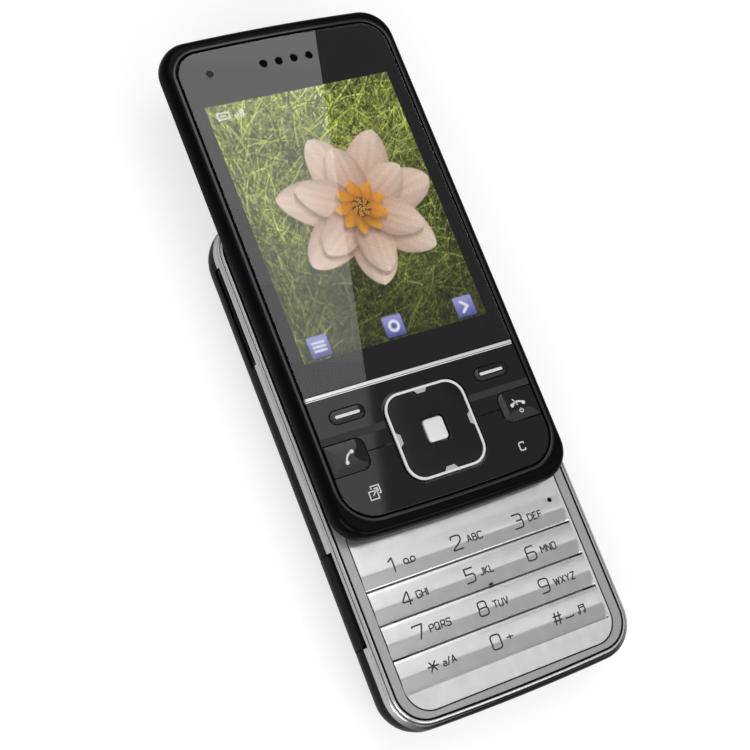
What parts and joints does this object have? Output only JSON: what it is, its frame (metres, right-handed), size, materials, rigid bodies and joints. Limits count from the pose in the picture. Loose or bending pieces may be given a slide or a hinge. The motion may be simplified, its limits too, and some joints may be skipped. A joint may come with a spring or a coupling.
{
  "type": "slider phone",
  "caption": "Sliding mobile phone with a number keypad on the lower half and a display half with function keys that slides up over it.",
  "frame": {"origin": "centre of the flat back of the keypad half, on the face that the phone lies on", "axes": "+Z out of the front, +Y towards the earpiece end, +X to the right of someone who reads the keys"},
  "size_m": [0.0503, 0.129, 0.0165],
  "materials": {
    "shell_gloss_black": "high-gloss black moulded plastic",
    "plate_black": "glossy near-black key plate",
    "window_glass": "clear hard-coated window with a dark edge print behind it",
    "screen": null,
    "satin_silver": "satin silver lacquer",
    "ring_grey": "satin mid-grey lacquer",
    "bright_trim": "bright polished trim",
    "brushed_metal": "brushed aluminium",
    "steel": "stamped spring steel",
    "screw_steel": "plated screws",
    "contact_gold": "gold-plated contacts on film",
    "board_green": "circuit board with solder resist",
    "part_black": "black moulded plastic",
    "lens_glass": "dark lens window",
    "battery_label": "wrapped battery cell",
    "film_white": "white film and light guide",
    "mic_can": "capsule can",
    "flex_amber": "amber flexible circuit"
  },
  "bodies": {
    "base": {"back_shell": "shell_gloss_black", "battery_cover": "shell_gloss_black", "battery": "battery_label", "battery_contacts": "part_black", "sim_holder": "steel", "main_board": "board_green", "shield_cans": "steel", "card_reader": "steel", "connector_port": "part_black", "loudspeaker": "part_black", "speaker_grille": "steel", "vibration_motor": "steel", "camera_module": "part_black", "camera_window": "lens_glass", "flash_led": "film_white", "antenna_carrier": "part_black", "microphone": "mic_can", "side_switch_board": "contact_gold", "keypad_board": "board_green", "keypad_dome_sheet": "film_white", "keypad_panel": "satin_silver", "front_cover": "ring_grey", "side_frame": "satin_silver", "slide_carriage": "steel", "base_screws": "screw_steel", "assist_springs": "steel", "flex_cable": "flex_amber"},
    "slider": {"slider_front_housing": "shell_gloss_black", "slider_back_cover": "shell_gloss_black", "rail_plate": "steel", "slider_screws": "screw_steel", "front_window": "window_glass", "window_gasket": "part_black", "display_panel": "screen", "backlight": "film_white", "display_frame": "steel", "earpiece_speaker": "part_black", "earpiece_mesh": "steel", "light_sensor": "part_black", "trim_bar": "bright_trim", "upper_key_plate": "plate_black", "function_dome_sheet": "film_white", "slider_board": "board_green"},
    "lens_cover": {"lens_cover": "brushed_metal"},
    "card_cover": {"card_cover": "shell_gloss_black"},
    "camera_key": {"camera_key": "satin_silver"},
    "zoom_key": {"zoom_key": "satin_silver"},
    "key_row_1": {"key_row_1": "satin_silver"},
    "key_row_2": {"key_row_2": "satin_silver"},
    "key_row_3": {"key_row_3": "satin_silver"},
    "key_row_4": {"key_row_4": "satin_silver"},
    "lower_keys": {"lower_key_plate": "plate_black"},
    "soft_key_left": {"soft_key_left": "plate_black"},
    "soft_key_right": {"soft_key_right": "plate_black"},
    "call_key": {"call_key": "plate_black"},
    "end_key": {"end_key": "plate_black"},
    "nav_support": {"nav_support": "part_black"},
    "nav_key": {"nav_key": "plate_black", "nav_ring": "bright_trim"},
    "select_key": {"select_key": "satin_silver"}
  },
  "joints": [
    {"name": "slider_slide", "type": "slide", "parent": "base", "child": "slider", "axis": [0, -1, 0], "range_m": [0, 0.033], "deforming": ["assist_springs", "flex_cable"]},
    {"name": "lens_cover_slide", "type": "slide", "parent": "base", "child": "lens_cover", "axis": [0, -1, 0], "range_m": [0, 0.0123]},
    {"name": "card_cover_hinge", "type": "hinge", "parent": "base", "child": "card_cover", "pos_m": [-0.0234, 0, 0.004], "axis": [0, -1, 0], "range_deg": [0, 80]},
    {"name": "camera_key_press", "type": "slide", "parent": "base", "child": "camera_key", "axis": [-1, 0, 0], "range_m": [0, 0.0003], "stiffness_N_per_m": 1500},
    {"name": "zoom_key_rock", "type": "hinge", "parent": "base", "child": "zoom_key", "pos_m": [0.0236, 0.03, 0.0079], "axis": [0, 0, 1], "range_deg": [-1.4, 1.4], "stiffness_Nm_per_rad": 0.08},
    {"name": "key_row_1_press", "type": "slide", "parent": "base", "child": "key_row_1", "axis": [0, 0, -1], "range_m": [0, 0.00025], "stiffness_N_per_m": 2500},
    {"name": "key_row_2_press", "type": "slide", "parent": "base", "child": "key_row_2", "axis": [0, 0, -1], "range_m": [0, 0.00025], "stiffness_N_per_m": 2500},
    {"name": "key_row_3_press", "type": "slide", "parent": "base", "child": "key_row_3", "axis": [0, 0, -1], "range_m": [0, 0.00025], "stiffness_N_per_m": 2500},
    {"name": "key_row_4_press", "type": "slide", "parent": "base", "child": "key_row_4", "axis": [0, 0, -1], "range_m": [0, 0.00025], "stiffness_N_per_m": 2500},
    {"name": "lower_keys_rock", "type": "hinge", "parent": "slider", "child": "lower_keys", "pos_m": [0, -0.006, 0.0153], "axis": [0, 1, 0], "range_deg": [-0.9, 0.9], "stiffness_Nm_per_rad": 0.08},
    {"name": "soft_key_left_press", "type": "slide", "parent": "slider", "child": "soft_key_left", "axis": [0, 0, -1], "range_m": [0, 0.00025], "stiffness_N_per_m": 1500},
    {"name": "soft_key_right_press", "type": "slide", "parent": "slider", "child": "soft_key_right", "axis": [0, 0, -1], "range_m": [0, 0.00025], "stiffness_N_per_m": 1500},
    {"name": "call_key_press", "type": "slide", "parent": "slider", "child": "call_key", "axis": [0, 0, -1], "range_m": [0, 0.00025], "stiffness_N_per_m": 1500},
    {"name": "end_key_press", "type": "slide", "parent": "slider", "child": "end_key", "axis": [0, 0, -1], "range_m": [0, 0.00025], "stiffness_N_per_m": 1500},
    {"name": "nav_up_down", "type": "hinge", "parent": "slider", "child": "nav_support", "pos_m": [0, -0.0002, 0.0147], "axis": [1, 0, 0], "range_deg": [-1.2, 1.2], "stiffness_Nm_per_rad": 0.08},
    {"name": "nav_left_right", "type": "hinge", "parent": "nav_support", "child": "nav_key", "pos_m": [0, -0.0002, 0.0147], "axis": [0, 1, 0], "range_deg": [-1.2, 1.2], "stiffness_Nm_per_rad": 0.08},
    {"name": "select_key_press", "type": "slide", "parent": "slider", "child": "select_key", "axis": [0, 0, -1], "range_m": [0, 0.0002], "stiffness_N_per_m": 1500}
  ]
}
